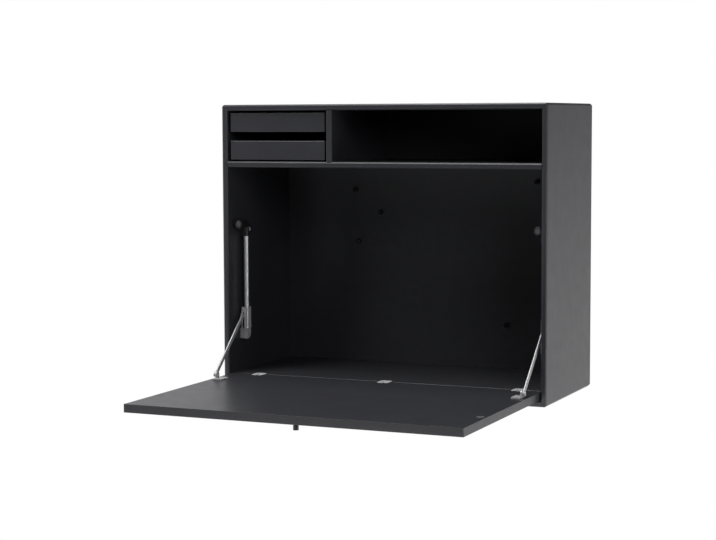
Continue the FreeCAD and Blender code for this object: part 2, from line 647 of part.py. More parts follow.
def foot_bracket():
    """Angle on the flap: a plate with two screws and a rounded lug beside the arm's lower eye."""
    middle = FOOT_PIVOT.y
    ends = (middle - FOOT_LENGTH / 2, middle + FOOT_LENGTH / 2)
    inner = LUG_OUTER + FOOT_WIDTH
    plate = block((LUG_OUTER, inner), ends, (FLAP_TOP, FLAP_TOP + FOOT_PLATE))
    upright = [e for e in plate.Edges if near(e.BoundBox.XMin, inner) and near(e.Length, FOOT_PLATE)]
    plate = plate.makeFillet(FOOT_CORNER, upright)
    lug = block((LUG_OUTER, LUG_INNER), (middle - FOOT_LUG_RADIUS, middle + FOOT_LUG_RADIUS),
                (FLAP_TOP, FOOT_PIVOT.z))
    ear = cross_bar(FOOT_PIVOT, LUG_OUTER, LUG_INNER, FOOT_LUG_RADIUS)
    return cut(fused([plate, lug, ear]), [foot_pin()] + foot_screws())


def foot_pin():
    """Pivot pin: headed beside the arm, riveted over the lug."""
    head_end = ARM_OUTER - ARM_GAP
    head = cross_bar(FOOT_PIVOT, head_end - PIVOT_HEAD_HEIGHT, head_end, PIVOT_HEAD_RADIUS)
    shank = cross_bar(FOOT_PIVOT, head_end, LUG_INNER, PIVOT_PIN_RADIUS)
    end = LUG_INNER + PIVOT_HEAD_HEIGHT
    rivet = cross_bar(FOOT_PIVOT, LUG_INNER, end, PIVOT_HEAD_RADIUS)
    rivet = rivet.makeChamfer(PIVOT_HEAD_EDGE, edges_where(rivet, lambda p: near(p.x, end)))
    return fused([head, shank, rivet])


def foot_screws():
    x = LUG_INNER + (FOOT_WIDTH - FOOT_LUG_THICKNESS) / 2
    z = FLAP_TOP + FOOT_PLATE
    heads = [Vector(x, FOOT_PIVOT.y + way * FOOT_SCREW_SPACING / 2, z) for way in (-1, 1)]
    return [wood_screw(head, Vector(0, 0, -1), FOOT_PLATE + SCREW_GRIP) for head in heads]


# ---- trays ----
def tray(level):
    """Pieces of one tray: front, sides, back and a bottom let into grooves."""
    low = SHELF_TOP + TRAY_LIFT + level * TRAY_PITCH
    high = low + TRAY_FRONT_HEIGHT - TRAY_SIDE_DROP
    behind = TRAY_FACE + TRAY_FRONT_THICKNESS
    front = block((TRAY_LEFT, TRAY_RIGHT), (TRAY_FACE, behind), (low, low + TRAY_FRONT_HEIGHT))
    front = front.makeChamfer(FINE_EDGE, edges_where(front, lambda p: near(p.y, TRAY_FACE)))
    inner = (TRAY_LEFT + TRAY_SIDE_THICKNESS, TRAY_RIGHT - TRAY_SIDE_THICKNESS)
    rear = TRAY_BACK - TRAY_SIDE_THICKNESS
    let_in = TRAY_BOTTOM_LET_IN
    bottom = block((inner[0] - let_in, inner[1] + let_in), (behind - let_in, rear + let_in),
                   (low + TRAY_BOTTOM_LIFT, low + TRAY_BOTTOM_LIFT + TRAY_BOTTOM_THICKNESS))
    middle = low + (TRAY_FRONT_HEIGHT - TRAY_SIDE_DROP) / 2
    grooves = [runner_groove(middle, INNER_LEFT, 1), runner_groove(middle, DIVIDER_LEFT, -1)]
    left = block((TRAY_LEFT, inner[0]), (behind, TRAY_BACK), (low, high))
    right = block((inner[1], TRAY_RIGHT), (behind, TRAY_BACK), (low, high))
    pieces = {
        "front": front.cut(bottom),
        "left_side": cut(left, [bottom, grooves[0]]),
        "right_side": cut(right, [bottom, grooves[1]]),
        "back": block(inner, (rear, TRAY_BACK), (low, high)).cut(bottom),
        "bottom": bottom,
    }
    runners = [runner(middle, INNER_LEFT, 1), runner(middle, DIVIDER_LEFT, -1)]
    return pieces, runners


def runner_reach():
    return TRAY_SIDE_GAP + RUNNER_LET_IN


def runner_groove(middle, wall, way):
    half = RUNNER_HEIGHT / 2 + RUNNER_PLAY
    reach = way * (runner_reach() + RUNNER_PLAY)
    return block((wall, wall + reach), (TRAY_FACE + TRAY_FRONT_THICKNESS, TRAY_BACK + 1),
                 (middle - half, middle + half))


def runner(middle, wall, way):
    return block((wall, wall + way * runner_reach()), (RUNNER_FRONT, RUNNER_REAR),
                 (middle - RUNNER_HEIGHT / 2, middle + RUNNER_HEIGHT / 2))


def runner_screws(level):
    middle = SHELF_TOP + TRAY_LIFT + level * TRAY_PITCH + (TRAY_FRONT_HEIGHT - TRAY_SIDE_DROP) / 2
    screws = []
    for wall, way in ((INNER_LEFT, 1), (DIVIDER_LEFT, -1)):
        for y in (RUNNER_FRONT + RUNNER_SCREW_INSET, RUNNER_REAR - RUNNER_SCREW_INSET):
            head = Vector(wall + way * runner_reach(), y, middle)
            screws.append(wood_screw(head, Vector(-way, 0, 0), runner_reach() + SCREW_GRIP))
    return screws


# ---- assembly ----
def build():
    nodes = {}
    stay_screws = both_sides(lower_screw()) + both_sides(top_screw())
    tray_screws = runner_screws(0) + runner_screws(1)
    joinery = dowels()
    splines = corner_splines()

    for name, panel in carcass_panels().items():
        nodes[name] = cut(panel, splines + joinery + stay_screws + tray_screws)
    nodes["corner_splines"] = Part.makeCompound(splines)
    nodes["dowels"] = Part.makeCompound(joinery)
    shelf = chamfered_board((INNER_LEFT, INNER_RIGHT), (SHELF_BOTTOM, SHELF_TOP), BACK_FRONT, "x")
    nodes["shelf"] = cut(shelf, joinery)
    divider = chamfered_board((DIVIDER_LEFT, DIVIDER_RIGHT), (SHELF_TOP, INNER_TOP), BACK_FRONT, "z")
    nodes["divider"] = cut(divider, joinery + tray_screws)
    nodes["back_panel"] = cut(back_panel(), fixing_holes() + rail_screws())
    nodes["hanging_rail"] = cut(rail_blank(), fixing_holes() + rail_screws())
    nodes["rail_screws"] = Part.makeCompound(rail_screws())
    sheet = block((INNER_LEFT, INNER_RIGHT), (SHEET_FRONT, BACK_FRONT), (FLAP_TOP, SHELF_BOTTOM))
    nodes["magnetic_sheet"] = sheet
    nodes["magnet_buttons"] = Part.makeCompound(board_buttons())

    nodes["floor_board"] = cut(floor_blank(), hinge_cups())
    nodes["floor_hinge_halves"] = Part.makeCompound(floor_hinge_halves())
    nodes["flap_hinge_halves"] = Part.makeCompound(flap_hinge_halves())
    nodes["hinge_pins"] = Part.makeCompound(hinge_pins())
    foot_screw_set = [s for one in foot_screws() for s in both_sides(one)]
    strikes = both_sides(left_strike())
    flap = cut(flap_blank(), hinge_cups() + hinge_notches() + foot_screw_set + strikes + [knob_stud()])
    nodes["flap_panel"] = flap
    nodes["foot_screws"] = Part.makeCompound(foot_screw_set)
    nodes["catch_strikes"] = Part.makeCompound(strikes)
    nodes["pull_knob"] = pull_knob()
    nodes["knob_stud"] = knob_stud()

    nodes["stay_screws"] = Part.makeCompound(stay_screws)
    stay = {
        "guide_rod": guide_rod(), "lower_bracket": lower_bracket(), "top_mount": top_mount(),
        "catch_magnet": catch_magnet(), "slider": slider(),
        "slider_liners": Part.makeCompound(slider_liners()), "slider_rivet": slider_rivet(),
        "stay_arm": stay_arm(), "foot_bracket": foot_bracket(), "foot_pin": foot_pin(),
    }
    for name, shape in stay.items():
        nodes["left_" + name] = shape
        nodes["right_" + name] = across(shape)

    runners = []
    for level, name in enumerate(("lower_tray", "upper_tray")):
        pieces, pair = tray(level)
        for piece, shape in pieces.items():
            nodes[name + "_" + piece] = shape
        runners += pair
    nodes["tray_runners"] = Part.makeCompound([cut(r, tray_screws) for r in runners])
    nodes["runner_screws"] = Part.makeCompound(tray_screws)
    return nodes


os.makedirs("parts", exist_ok=True)
for node, shape in build().items():
    shape.exportStep("parts/" + node + ".step")
    print(node, len(shape.Solids), round(shape.Volume / 1000, 1))
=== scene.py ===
import json
import math

import bmesh
import bpy
from mathutils import Matrix, Vector

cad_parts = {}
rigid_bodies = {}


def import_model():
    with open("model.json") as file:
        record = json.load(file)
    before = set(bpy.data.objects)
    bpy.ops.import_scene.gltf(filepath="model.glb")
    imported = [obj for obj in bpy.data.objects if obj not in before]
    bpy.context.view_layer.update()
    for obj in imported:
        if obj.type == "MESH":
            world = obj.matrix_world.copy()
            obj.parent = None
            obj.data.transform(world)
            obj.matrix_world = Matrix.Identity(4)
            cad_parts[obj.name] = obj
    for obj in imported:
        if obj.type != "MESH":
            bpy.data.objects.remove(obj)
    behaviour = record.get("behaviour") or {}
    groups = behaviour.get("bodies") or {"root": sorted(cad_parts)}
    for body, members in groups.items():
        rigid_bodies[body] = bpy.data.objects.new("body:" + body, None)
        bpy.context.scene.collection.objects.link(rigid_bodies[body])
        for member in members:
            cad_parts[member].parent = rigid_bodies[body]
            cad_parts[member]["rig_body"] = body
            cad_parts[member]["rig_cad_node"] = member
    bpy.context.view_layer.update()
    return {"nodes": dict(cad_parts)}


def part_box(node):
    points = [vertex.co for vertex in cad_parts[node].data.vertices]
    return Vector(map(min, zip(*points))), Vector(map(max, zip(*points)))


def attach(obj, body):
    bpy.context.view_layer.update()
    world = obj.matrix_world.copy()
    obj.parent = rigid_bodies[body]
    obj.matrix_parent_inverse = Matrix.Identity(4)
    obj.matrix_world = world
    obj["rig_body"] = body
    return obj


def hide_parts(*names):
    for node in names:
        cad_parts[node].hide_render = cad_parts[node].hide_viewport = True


# Fold down wall desk: the cabinet, its flap with the two stays, and the two trays, in metres.
MM = 0.001
X, Y, Z = Vector((1, 0, 0)), Vector((0, 1, 0)), Vector((0, 0, 1))
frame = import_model()
nodes = frame["nodes"]


# ---- modelling ----
BAR_SIDES = 64
NEAR = 0.02 * MM            # two places closer than this are the same
MERGE_GAP = 0.001 * MM      # vertices of a CAD node closer than this are merged
FLAT = 0.5                  # faces that meet at less than this angle are one flat face
FOLD = 20                   # edges that meet at more than this angle are rounded, in degrees
SHARP = 30                  # the same for copies of CAD nodes, with their faceted round faces


def bare():
    bpy.ops.object.select_all(action="DESELECT")


def take(piece):
    """Makes a piece the only selected one."""
    bare()
    piece.select_set(True)
    bpy.context.view_layer.objects.active = piece


def settled(name):
    """Names the new object and moves its place into its mesh."""
    piece = bpy.context.object
    piece.name = piece.data.name = name
    bpy.ops.object.transform_apply(location=True, rotation=True, scale=True)
    return piece


def block(name, low, high):
    """Box between two corners."""
    bare()
    bpy.ops.mesh.primitive_cube_add(size=1, location=(low + high) / 2, scale=high - low)
    return settled(name)


def bar(name, start, end, radius):
    """Round bar from one point to another."""
    bare()
    way = end - start
    turn = way.to_track_quat("Z", "Y").to_euler()
    bpy.ops.mesh.primitive_cylinder_add(
        vertices=BAR_SIDES, radius=radius, depth=way.length, location=(start + end) / 2, rotation=turn
    )
    return settled(name)


def upright(name, x, y, low, high, radius):
    """Round bar that stands between two heights."""
    return bar(name, Vector((x, y, low)), Vector((x, y, high)), radius)


def lying(name, middle, half, radius):
    """Round bar along the width, centred on a point."""
    return bar(name, middle - X * half, middle + X * half, radius)


def turned(name, rings, sides):
    """Turned piece on +Z, from rings given by radius and height in millimetres."""
    bare()
    radius, height = rings[0]
    bpy.ops.mesh.primitive_circle_add(
        vertices=sides, radius=radius * MM, location=(0, 0, height * MM), fill_type="NGON"
    )
    piece = settled(name)
    bpy.ops.object.mode_set(mode="EDIT")
    bpy.ops.mesh.select_mode(type="FACE")
    bpy.ops.mesh.select_all(action="SELECT")
    for next_radius, next_height in rings[1:]:
        rise = (0, 0, (next_height - height) * MM)
        bpy.ops.mesh.extrude_region_move(TRANSFORM_OT_translate={"value": rise})
        share = next_radius / radius
        bpy.ops.transform.resize(value=(share, share, 1), center_override=(0, 0, 0))
        radius, height = next_radius, next_height
    bpy.ops.mesh.select_all(action="SELECT")
    bpy.ops.mesh.normals_make_consistent(inside=False)
    close_edit()
    return piece


def pick(piece, kind, test):
    """Opens a piece in edit mode with those vertices, edges or faces selected that pass the test."""
    take(piece)
    bpy.ops.object.mode_set(mode="EDIT")
    bpy.ops.mesh.select_mode(type=kind)
    bpy.ops.mesh.select_all(action="DESELECT")
    mesh = bmesh.from_edit_mesh(piece.data)
    mesh.normal_update()
    for part in {"VERT": mesh.verts, "EDGE": mesh.edges, "FACE": mesh.faces}[kind]:
        if test(part):
            part.select_set(True)
    mesh.select_flush_mode()
    bmesh.update_edit_mesh(piece.data)


def close_edit():
    bpy.ops.object.mode_set(mode="OBJECT")


def bevelled(piece, width, steps, test):
    """Chamfers the edges that pass the test, or rounds them where there is more than one step."""
    pick(piece, "EDGE", test)
    bpy.ops.mesh.bevel(offset=width, segments=steps, profile=0.5, affect="EDGES", clamp_overlap=True)
    close_edit()


def folded(edge, least=FOLD):
    """True where the two faces of an edge meet at more than an angle in degrees."""
    return len(edge.link_faces) == 2 and edge.calc_face_angle(0) > math.radians(least)


def lies_on(edge, axis, place):
    """True where both ends of an edge lie at a place on an axis."""
    return all(abs(v.co.dot(axis) - place) < NEAR for v in edge.verts)


def runs_along(edge, axis):
    """True where an edge runs in the direction of an axis, or nearly so."""
    run = (edge.verts[1].co - edge.verts[0].co).normalized()
    return abs(run.dot(axis)) > 0.9


def trimmed(piece, point, normal):
    """Cuts off what lies beyond a plane, and closes the cut."""
    pick(piece, "FACE", lambda f: True)
    bpy.ops.mesh.bisect(plane_co=point, plane_no=normal, use_fill=True, clear_outer=True)
    close_edit()


def corner_off(piece, tip, slope, width):
    """Chamfers a long square corner through its tip; the slope is the chamfer's direction."""
    trimmed(piece, tip - slope * width / math.sqrt(2), slope)


def cut_out(piece, cutters):
    """Takes the cutters' shapes out of a piece, and removes the cutters."""
    for cutter in cutters:
        take(piece)
        cut = piece.modifiers.new("cut", "BOOLEAN")
        cut.operation = "DIFFERENCE"
        cut.solver = "EXACT"
        cut.object = cutter
        bpy.ops.object.modifier_apply(modifier=cut.name)
        bpy.data.objects.remove(cutter)


def joined(pieces, name):
    """Several pieces as one, under a new name."""
    bare()
    for piece in pieces:
        piece.select_set(True)
    bpy.context.view_layer.objects.active = pieces[0]
    bpy.ops.object.join()
    pieces[0].name = pieces[0].data.name = name
    return pieces[0]


def repeated(name, piece, matrices):
    """Copies of a piece, each with its own mesh and matrix, joined; the piece itself goes."""
    copies = []
    for matrix in matrices:
        twin = piece.copy()
        twin.data = piece.data.copy()
        bpy.context.scene.collection.objects.link(twin)
        twin.data.transform(matrix)
        copies.append(twin)
    bpy.data.objects.remove(piece)
    return joined(copies, name)


def set_out(name, piece, places, direction=Z):
    """Copies of a round piece on +Z, turned to a direction and joined."""
    turn = direction.to_track_quat("Z", "Y").to_matrix().to_4x4()
    return repeated(name, piece, [Matrix.Translation(place) @ turn for place in places])


def merged(node):
    """Copy of a CAD node with its vertices merged and its flat faces in one piece."""
    take(nodes[node])
    bpy.ops.object.duplicate()
    piece = bpy.context.object
    piece.name = piece.data.name = node + "_finished"
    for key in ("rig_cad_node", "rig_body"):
        del piece[key]
    bpy.ops.object.parent_clear(type="CLEAR_KEEP_TRANSFORM")
    bpy.ops.mesh.customdata_custom_splitnormals_clear()
    bpy.ops.object.mode_set(mode="EDIT")
    bpy.ops.mesh.select_all(action="SELECT")
    bpy.ops.mesh.remove_doubles(threshold=MERGE_GAP)
    bpy.ops.mesh.dissolve_limited(angle_limit=math.radians(FLAT))
    close_edit()
    return piece


def finished(piece, body, material, slot, *stood_for, angle=50):
    """Smooths a piece, gives it its finish, and hangs it on its body in place of the CAD nodes."""
    take(piece)
    bpy.ops.object.shade_smooth_by_angle(angle=math.radians(angle))
    weigh = piece.modifiers.new("flat faces", "WEIGHTED_NORMAL")
    weigh.keep_sharp = True
    bpy.ops.object.modifier_apply(modifier=weigh.name)
    piece.data.materials.clear()
    piece.data.materials.append(material)
    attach(piece, body)
    if stood_for:
        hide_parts(*stood_for)


# ---- finishes ----
def shader(name, colour, roughness, metal=0.0):
    """New material with plain values, and its main node."""
    material = bpy.data.materials.new(name)
    material.use_nodes = True
    main = material.node_tree.nodes["Principled BSDF"]
    main.inputs["Base Color"].default_value = (*colour, 1)
    main.inputs["Roughness"].default_value = roughness
    main.inputs["Metallic"].default_value = metal
    return material, main


def noise(material, scale, detail, stretch=(1, 1, 1)):
    """Noise in the piece's own coordinates; scale is in cells per metre."""
    tree = material.node_tree
    place = tree.nodes.new("ShaderNodeTexCoord")
    mapping = tree.nodes.new("ShaderNodeMapping")
    cells = tree.nodes.new("ShaderNodeTexNoise")
    mapping.inputs["Scale"].default_value = stretch
    cells.inputs["Scale"].default_value = scale
    cells.inputs["Detail"].default_value = detail
    tree.links.new(place.outputs["Object"], mapping.inputs["Vector"])
    tree.links.new(mapping.outputs["Vector"], cells.inputs["Vector"])
    return cells.outputs["Fac"]


def ramp(tree, source, start, end, low, high, smooth=False):
    """Goes from low to high while the source goes from start to end."""
    step = tree.nodes.new("ShaderNodeMapRange")
    if smooth:
        step.interpolation_type = "SMOOTHSTEP"
    for name, value in (("From Min", start), ("From Max", end), ("To Min", low), ("To Max", high)):
        step.inputs[name].default_value = value
    tree.links.new(source, step.inputs["Value"])
    return step.outputs["Result"]


def spread_out(tree, source, low, high):
    """Maps the middle of a noise, where nearly all of it lies, to low and high."""
    return ramp(tree, source, 0.3, 0.7, low, high)


def uneven(material, main, source, roughness, spread):
    """Lets a noise move the roughness up and down by a spread."""
    tree = material.node_tree
    varied = spread_out(tree, source, roughness - spread, roughness + spread)
    tree.links.new(varied, main.inputs["Roughness"])


def tinted(material, main, source, dark, light):
    """Lets a noise move the colour between two tones."""
    tree = material.node_tree
    mix = tree.nodes.new("ShaderNodeMix")
    mix.data_type = "RGBA"
    mix.inputs["A"].default_value = (*dark, 1)
    mix.inputs["B"].default_value = (*light, 1)
    tree.links.new(spread_out(tree, source, 0.0, 1.0), mix.inputs["Factor"])
    tree.links.new(mix.outputs["Result"], main.inputs["Base Color"])


def embossed(material, main, source, strength, depth):
    """Bump from a noise; further ones are laid over it."""
    tree = material.node_tree
    bump = tree.nodes.new("ShaderNodeBump")
    bump.inputs["Strength"].default_value = strength
    bump.inputs["Distance"].default_value = depth
    tree.links.new(source, bump.inputs["Height"])
    normal = main.inputs["Normal"]
    if normal.is_linked:
        tree.links.new(normal.links[0].from_socket, bump.inputs["Normal"])
    tree.links.new(bump.outputs["Normal"], normal)


def shades(colour, spread):
    """A tone a little darker and one a little lighter than a colour."""
    return [c * (1 - spread) for c in colour], [c * (1 + spread) for c in colour]


def lacquer(name, colour, roughness):
    """Satin sprayed lacquer: slight orange peel, uneven gloss, the faintest cloudiness."""
    material, main = shader(name, colour, roughness)
    tinted(material, main, noise(material, scale=9, detail=4), *shades(colour, 0.05))
    uneven(material, main, noise(material, scale=38, detail=5), roughness, spread=0.02)
    embossed(material, main, noise(material, scale=420, detail=2), strength=0.06, depth=0.2 * MM)
    embossed(material, main, noise(material, scale=2600, detail=2), strength=0.05, depth=0.05 * MM)
    return material


def powder_coat(name, colour, roughness):
    """Baked powder on steel or on a casting: a fine closed grain."""
    material, main = shader(name, colour, roughness)
    tinted(material, main, noise(material, scale=60, detail=3), *shades(colour, 0.07))
    uneven(material, main, noise(material, scale=90, detail=4), roughness, spread=0.05)
    embossed(material, main, noise(material, scale=1500, detail=3), strength=0.18, depth=0.12 * MM)
    return material


def plated(name, colour, roughness, metal, stretch=(1, 1, 1)):
    """Plated steel with fine marks, longest along the axis with the smallest stretch."""
    material, main = shader(name, colour, roughness, metal)
    tinted(material, main, noise(material, scale=120, detail=4), *shades(colour, 0.06))
    marks = noise(material, scale=900, detail=3, stretch=stretch)
    uneven(material, main, marks, roughness, spread=roughness * 0.2)
    embossed(material, main, marks, strength=0.06, depth=0.05 * MM)
    return material


def moulding(name, colour, roughness):
    """Injection moulded plastic with a faint spark grain."""
    material, main = shader(name, colour, roughness)
    tinted(material, main, noise(material, scale=200, detail=2), *shades(colour, 0.08))
    uneven(material, main, noise(material, scale=700, detail=3), roughness, spread=0.06)
    embossed(material, main, noise(material, scale=3000, detail=2), strength=0.12, depth=0.04 * MM)
    return material


def beech(name):
    """Plain beech: streaks along the length, darker flecks."""
    roughness = 0.5
    material, main = shader(name, (0.5, 0.33, 0.19), roughness)
    grain = noise(material, scale=70, detail=6, stretch=(6, 0.5, 6))
    tinted(material, main, grain, (0.42, 0.26, 0.14), (0.58, 0.4, 0.25))
    uneven(material, main, grain, roughness, spread=0.08)
    embossed(material, main, grain, strength=0.15, depth=0.1 * MM)
    return material


# Finishes: name, colour and roughness, and for plated steel its share of metal.
ANTHRACITE = (0.0305, 0.031, 0.0368)
board = lacquer("satin anthracite lacquer", ANTHRACITE, 0.36)
sheet = powder_coat("matt anthracite coating", ANTHRACITE, 0.52)
nickel = plated("satin nickel", (0.5, 0.5, 0.505), 0.5, 0.5)
hinge_nickel = plated("pale satin nickel", (0.66, 0.66, 0.665), 0.5, 0.3)
# nickel plating whose near-white tone also paints the lamp highlight on the stay screws' domed heads
bright = plated("nickel with painted highlight", (0.95, 0.95, 0.95), 0.3, 0.3)
dull_steel = plated("dull steel", (0.13, 0.13, 0.135), 0.55, 0.3)
dark_metal = plated("blackened brass", (0.035, 0.035, 0.037), 0.4, 0.3)
rod_chrome = plated("ground chrome", (0.95, 0.95, 0.95), 0.42, 0.85, stretch=(4, 4, 0.3))
zinc = plated("bright zinc", (0.6, 0.61, 0.63), 0.4, 0.8)
magnet = plated("bare magnet", (0.1, 0.1, 0.105), 0.45, 0.5)
casting = powder_coat("grey coated casting", (0.38, 0.38, 0.385), 0.45)
pale_casting = powder_coat("pale coated casting", (0.5, 0.5, 0.505), 0.42)
blackened = powder_coat("blackened cup", (0.03, 0.03, 0.034), 0.4)
black = moulding("black moulding", (0.011, 0.011, 0.012), 0.42)
button_black = moulding("glossy black cap", (0.012, 0.012, 0.013), 0.2)
bushing = moulding("natural bearing plastic", (0.5, 0.49, 0.47), 0.45)
raw_wood = beech("plain beech")

# Finish of each material slot of the CAD nodes.
FINISHES = {
    "lacquered_board": board, "tray_board": board, "coated_sheet": sheet, "black_button": button_black,
    "raw_wood": raw_wood, "zinc_steel": zinc, "hinge_metal": hinge_nickel, "nickel_steel": nickel,
    "knob_metal": dark_metal, "chrome_rod": rod_chrome, "grey_casting": casting,
    "white_plastic": bushing, "black_plastic": black, "magnet_face": magnet,
}
for node in nodes.values():
    for place, material in enumerate(node.data.materials):
        node.data.materials[place] = FINISHES[material.name.split(".")[0]]


# ---- carcass ----
CHAMFER = 2.5 * MM          # front edges; the rear ones have half of it
CORNER = 4 * MM             # long outer corners, where the panels meet
SOFT = 0.35 * MM            # radius that a sanded and lacquered edge keeps
SOFT_REACH = 5 * MM         # shelf and divider are softened this far behind their front
BACK_PLAY = 0.5 * MM        # groove of the back panel, wider and taller than the panel
INNER_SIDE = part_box("right_side_panel")[0].x
SHELL_LOW = Vector((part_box("left_side_panel")[0].x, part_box("shelf")[0].y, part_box("bottom_panel")[0].z))
SHELL_HIGH = Vector((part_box("right_side_panel")[1].x, 0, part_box("top_panel")[1].z))
PANEL = SHELL_HIGH.x - INNER_SIDE
FRONT = SHELL_LOW.y


def carcass_board(node, along, outward):
    """Mitred board of the carcass; outward points from its inner to its outer face."""
    low, high = SHELL_LOW.copy(), SHELL_HIGH.copy()
    face = max(low.dot(outward), high.dot(outward))
    inner = face - PANEL
    axis = [abs(v) for v in outward].index(1)
    for corner in (low, high):
        if corner.dot(outward) < inner:
            corner[axis] = inner * outward[axis]
    piece = block(node + "_lacquered", low, high)
    ends = [(along, high.dot(along)), (-along, -low.dot(along))]
    for end, place in ends:
        pick(piece, "VERT", lambda v: v.co.dot(end) > place - MM and v.co.dot(outward) < inner + MM)
        bpy.ops.transform.translate(value=-end * PANEL)
        close_edit()
    mitres = []
    for end, place in ends:
        tip = end * place + outward * face
        corner_off(piece, tip, (end + outward).normalized(), CORNER)
        across = (end - outward).normalized()
        mitres.append((across, tip.dot(across)))

    def at_mitre(edge):
        return any(lies_on(edge, across, place) for across, place in mitres)

    def front_rim(edge):
        return lies_on(edge, Y, FRONT) and not at_mitre(edge)

    def outer_rear_rim(edge):
        outside = edge.verts[0].co.dot(outward) > inner + MM
        return outside and lies_on(edge, Y, SHELL_HIGH.y) and not at_mitre(edge)

    bevelled(piece, CHAMFER, 1, front_rim)
    bevelled(piece, CHAMFER / 2, 1, outer_rear_rim)
    bevelled(piece, SOFT, 2, lambda e: folded(e) and not at_mitre(e))
    groove_low, groove_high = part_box("back_panel")
    play = (X + Z) * BACK_PLAY
    cut_out(piece, [block("groove", groove_low - play, groove_high + play)])
    finished(piece, "cabinet", board, "lacquered_board", node)


def inner_board(node, along):
    """Shelf or divider: its two long front edges are chamfered and softened."""
    low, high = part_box(node)
    piece = block(node + "_lacquered", low, high)
    bevelled(piece, CHAMFER, 1, lambda e: lies_on(e, Y, low.y) and runs_along(e, along))

    def near_front(edge):
        return edge.verts[0].co.y < low.y + SOFT_REACH

    bevelled(piece, SOFT, 2, lambda e: folded(e) and runs_along(e, along) and near_front(e))
    finished(piece, "cabinet", board, "lacquered_board", node)


carcass_board("top_panel", X, Z)
carcass_board("bottom_panel", X, -Z)
carcass_board("left_side_panel", Z, -X)
carcass_board("right_side_panel", Z, X)
inner_board("shelf", X)
inner_board("divider", Z)


# ---- flap and hinges ----
FLAP_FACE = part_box("flap_panel")[1].z
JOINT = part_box("flap_panel")[1].y
EASED = 0.6 * MM            # chamfer on both sides of the joint of flap and floor board
HEEL_STEPS = 10
SWEEP = 10.2 * MM           # room in the floor halves that the flap's heel turns in
SWEEP_HALF = 30 * MM        # half the length of that room's cutter

CUP_RADIUS = 17.5 * MM
CUP_SINK = 0.05 * MM        # cups below the flap's face
CUP_SPARE = 0.2 * MM        # rooms in the cups, larger than those in the plates
OVERCUT = 1 * MM            # how far a cutter stands past the face it cuts
PLATE_HALF = 12 * MM
PLATE_REACH = 16 * MM       # plate's end from the joint
PLATE_CORNER = 6 * MM
PLATE_STEPS = 8
PLATE_DEPTH = 6 * MM
PLATE_PROUD = 0.1 * MM      # plates above the flap's face
PLATE_EDGE = 0.2 * MM

TONGUE_HALF = 2.5 * MM
TONGUE_RISE = 2.6 * MM      # half the tongue's thickness
TONGUE_PLAY = 0.5 * MM
TONGUE_EDGE = 0.3 * MM
TONGUE_LET_IN = 2 * MM      # tongue's end inside the floor half
KNUCKLE = 4.9 * MM          # room for the knuckle in the flap's half
KNUCKLE_GAP = 0.3 * MM
KNUCKLE_SINK = 0.02 * MM    # knuckle's ends inside the tongue's sides

halves_low, halves_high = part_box("flap_hinge_halves")
pins_low, pins_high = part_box("hinge_pins")
CUP_FLOOR = halves_low.z
HINGES = (halves_low.x + CUP_RADIUS, (halves_low.x + halves_high.x) / 2, halves_high.x - CUP_RADIUS)
HINGE_MIDDLE = Vector((HINGES[1], JOINT, FLAP_FACE))
AXIS_DROP = FLAP_FACE - (pins_low.z + pins_high.z) / 2      # axis below the flap's face, and as far
HINGE_AXIS = HINGE_MIDDLE - (Y + Z) * AXIS_DROP             # ahead of the joint

STRIKE_RADIUS = 7.5 * MM
STRIKE_SEAT = 1.3 * MM      # depth of the strikes' seats in the flap
catch_low, catch_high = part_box("right_catch_magnet")
strikes_low, strikes_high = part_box("catch_strikes")
CATCH_X = (catch_low.x + catch_high.x) / 2
STRIKE_Y = (strikes_low.y + strikes_high.y) / 2
STRIKES = [Vector((x, STRIKE_Y, FLAP_FACE)) for x in (-CATCH_X, CATCH_X)]


def flap():
    """Flap panel with its round heel, the cups of its hinges and the seats of its strikes."""
    low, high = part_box("flap_panel")
    piece = block("flap_lacquered", low, high)
    bevelled(piece, AXIS_DROP, HEEL_STEPS, lambda e: lies_on(e, Y, high.y) and lies_on(e, Z, low.z))
    bevelled(piece, EASED, 1, lambda e: lies_on(e, Y, high.y) and lies_on(e, Z, high.z))
    bevelled(piece, SOFT, 2, folded)
    above = FLAP_FACE + OVERCUT
    cuts = [upright("cup", x, JOINT, CUP_FLOOR, above, CUP_RADIUS) for x in HINGES]
    cuts += [upright("seat", s.x, s.y, FLAP_FACE - STRIKE_SEAT, above, STRIKE_RADIUS) for s in STRIKES]
    cut_out(piece, cuts)
    finished(piece, "flap", board, "lacquered_board", "flap_panel")


def floor_board():
    """Floor board: its edge at the joint is eased like the flap's."""
    low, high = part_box("floor_board")
    piece = merged("floor_board")
    corner_off(piece, Vector((0, low.y, high.z)), (Z - Y).normalized(), EASED)
    finished(piece, "cabinet", board, "lacquered_board", "floor_board", angle=30)


def at_hinges(name, piece):
    """Copies of a piece of the middle hinge for all three, joined."""
    return repeated(name, piece, [Matrix.Translation(X * (x - HINGES[1])) for x in HINGES])


def tongue_room(spare):
    """Opening in the flap's half that the tongue and its knuckle turn in."""
    half = TONGUE_HALF + TONGUE_PLAY + spare
    reach = KNUCKLE + spare
    high = Vector((HINGE_MIDDLE.x + half, JOINT + OVERCUT, FLAP_FACE + OVERCUT))
    return block("room", HINGE_AXIS - Vector((half, reach, reach)), high)


